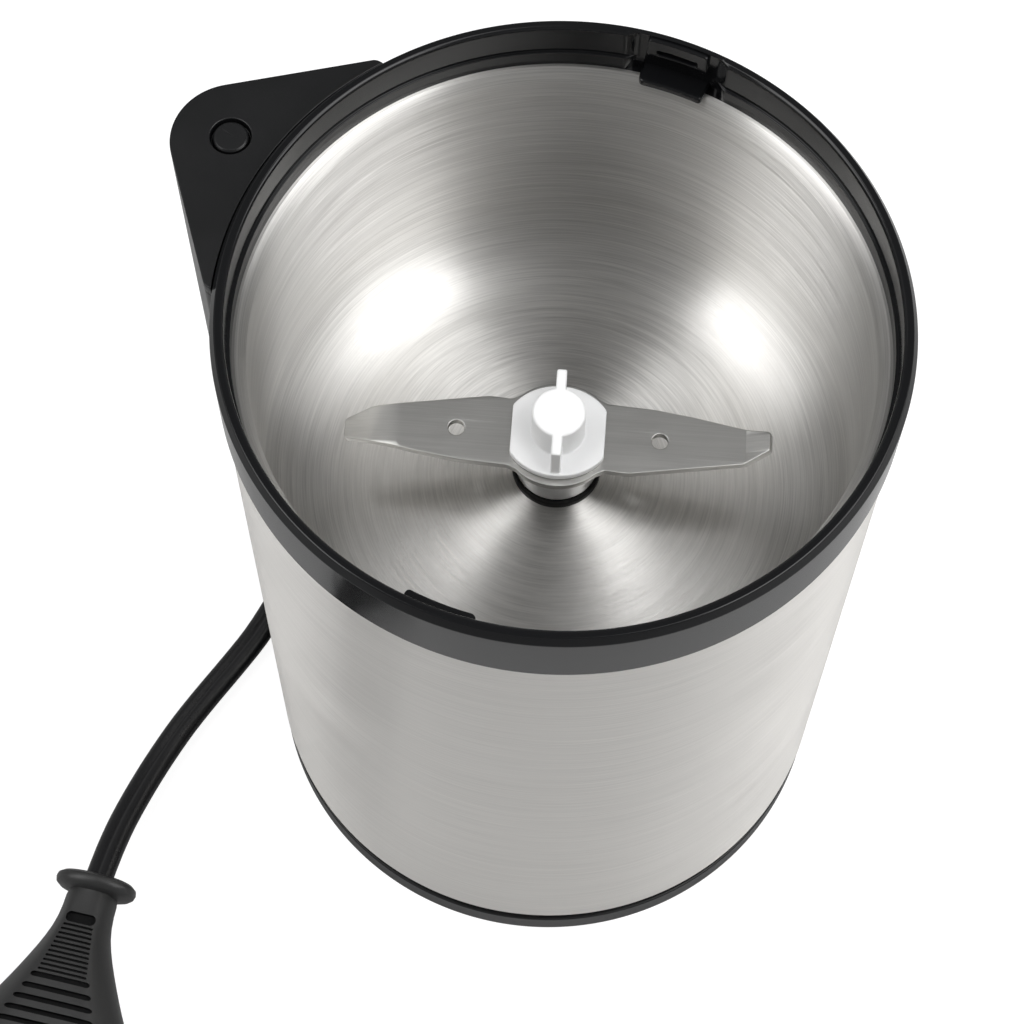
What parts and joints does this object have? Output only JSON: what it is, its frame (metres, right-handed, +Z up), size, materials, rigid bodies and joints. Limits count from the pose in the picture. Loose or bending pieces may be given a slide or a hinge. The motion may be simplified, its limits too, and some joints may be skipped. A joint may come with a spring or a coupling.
{
  "type": "electric spice grinder",
  "caption": "Open electric spice grinder: steel bowl with a turning blade, black lid ring, lid-operated switch plunger, universal motor and flat mains cord.",
  "frame": {"origin": "shaft axis at the plane that the foot ring rests on", "axes": "+Z up along the shaft, -X towards the switch housing, +Y towards the cord exit"},
  "size_m": [0.111, 0.2576, 0.138],
  "materials": {
    "steel_shell": "brushed round the axis",
    "steel_bowl": "brushed in rings",
    "black_gloss": "glossy",
    "black_satin": "satin",
    "black_base": "satin",
    "grey_inner": "matt",
    "rubber": "matt",
    "seal_rubber": "satin",
    "blade_steel": "ground",
    "white_plastic": "semi-gloss",
    "cord_black": "satin",
    "plug_black": "satin",
    "pin_metal": "polished",
    "zinc_screw": "zinc plated",
    "die_cast": "as cast",
    "bronze": "sintered",
    "lamination": "stamped sheet",
    "winding": "enamelled wire",
    "copper": "turned",
    "brass": "stamped",
    "carbon": "matt",
    "spring_steel": "drawn wire",
    "shaft_steel": "ground",
    "lead_blue": "smooth",
    "lead_brown": "smooth",
    "nylon": "natural"
  },
  "bodies": {
    "housing": {"outer_shell": "steel_shell", "top_ring": "black_gloss", "grinding_bowl": "steel_bowl", "inner_housing": "grey_inner", "base_cover": "black_base", "foot_ring": "rubber", "base_screws": "zinc_screw", "side_housing": "black_satin", "side_housing_cover": "black_satin", "side_housing_screws": "zinc_screw", "shaft_seal": "seal_rubber", "upper_bridge": "die_cast", "upper_bearing": "bronze", "motor_mounts": "rubber", "mount_screws": "zinc_screw", "stator_core": "lamination", "field_coils": "winding", "lower_bridge": "die_cast", "lower_bearing": "bronze", "stator_screws": "zinc_screw", "brush_holders": "brass", "carbon_brushes": "carbon", "brush_springs": "spring_steel", "switch_body": "grey_inner", "switch_terminals": "brass", "plunger_spring": "spring_steel", "switch_leads": "lead_blue", "mains_leads": "lead_brown", "cord_tail": "cord_black", "cord_clamp": "nylon", "clamp_screws": "zinc_screw", "cord_boot": "cord_black", "cord_to_coil": "cord_black", "cord_coil": "cord_black", "coil_tie": "black_satin", "cord_run": "cord_black", "plug_body": "plug_black", "plug_pins": "pin_metal", "pin_sleeves": "plug_black"},
    "rotor": {"motor_shaft": "shaft_steel", "armature_core": "lamination", "armature_winding": "winding", "commutator": "copper", "thrust_washers": "shaft_steel", "shaft_collar": "shaft_steel", "hub_base": "white_plastic", "blade": "blade_steel", "hub_cap": "white_plastic"},
    "plunger": {"push_plunger": "black_satin"},
    "lever": {"switch_lever": "spring_steel"},
    "button": {"switch_button": "nylon"}
  },
  "joints": [
    {"name": "blade_spin", "type": "hinge", "parent": "housing", "child": "rotor", "pos_m": [0, 0, 0.1], "axis": [0, 0, 1], "continuous": true},
    {"name": "plunger_press", "type": "slide", "parent": "housing", "child": "plunger", "axis": [0, 0, -1], "range_m": [0, 0.002], "stiffness_N_per_m": 400, "deforming": ["plunger_spring"]},
    {"name": "lever_turn", "type": "hinge", "parent": "housing", "child": "lever", "pos_m": [-0.0512, 0.008, 0.10945], "axis": [1, 0, 0], "range_deg": [0, 16.1]},
    {"name": "button_press", "type": "slide", "parent": "housing", "child": "button", "axis": [0, 0, -1], "range_m": [0, 0.00125]}
  ],
  "couplings": [
    {"joint": "lever_turn", "follows": "plunger_press", "rad_per_m": 140},
    {"joint": "button_press", "follows": "plunger_press", "ratio": 0.62}
  ]
}
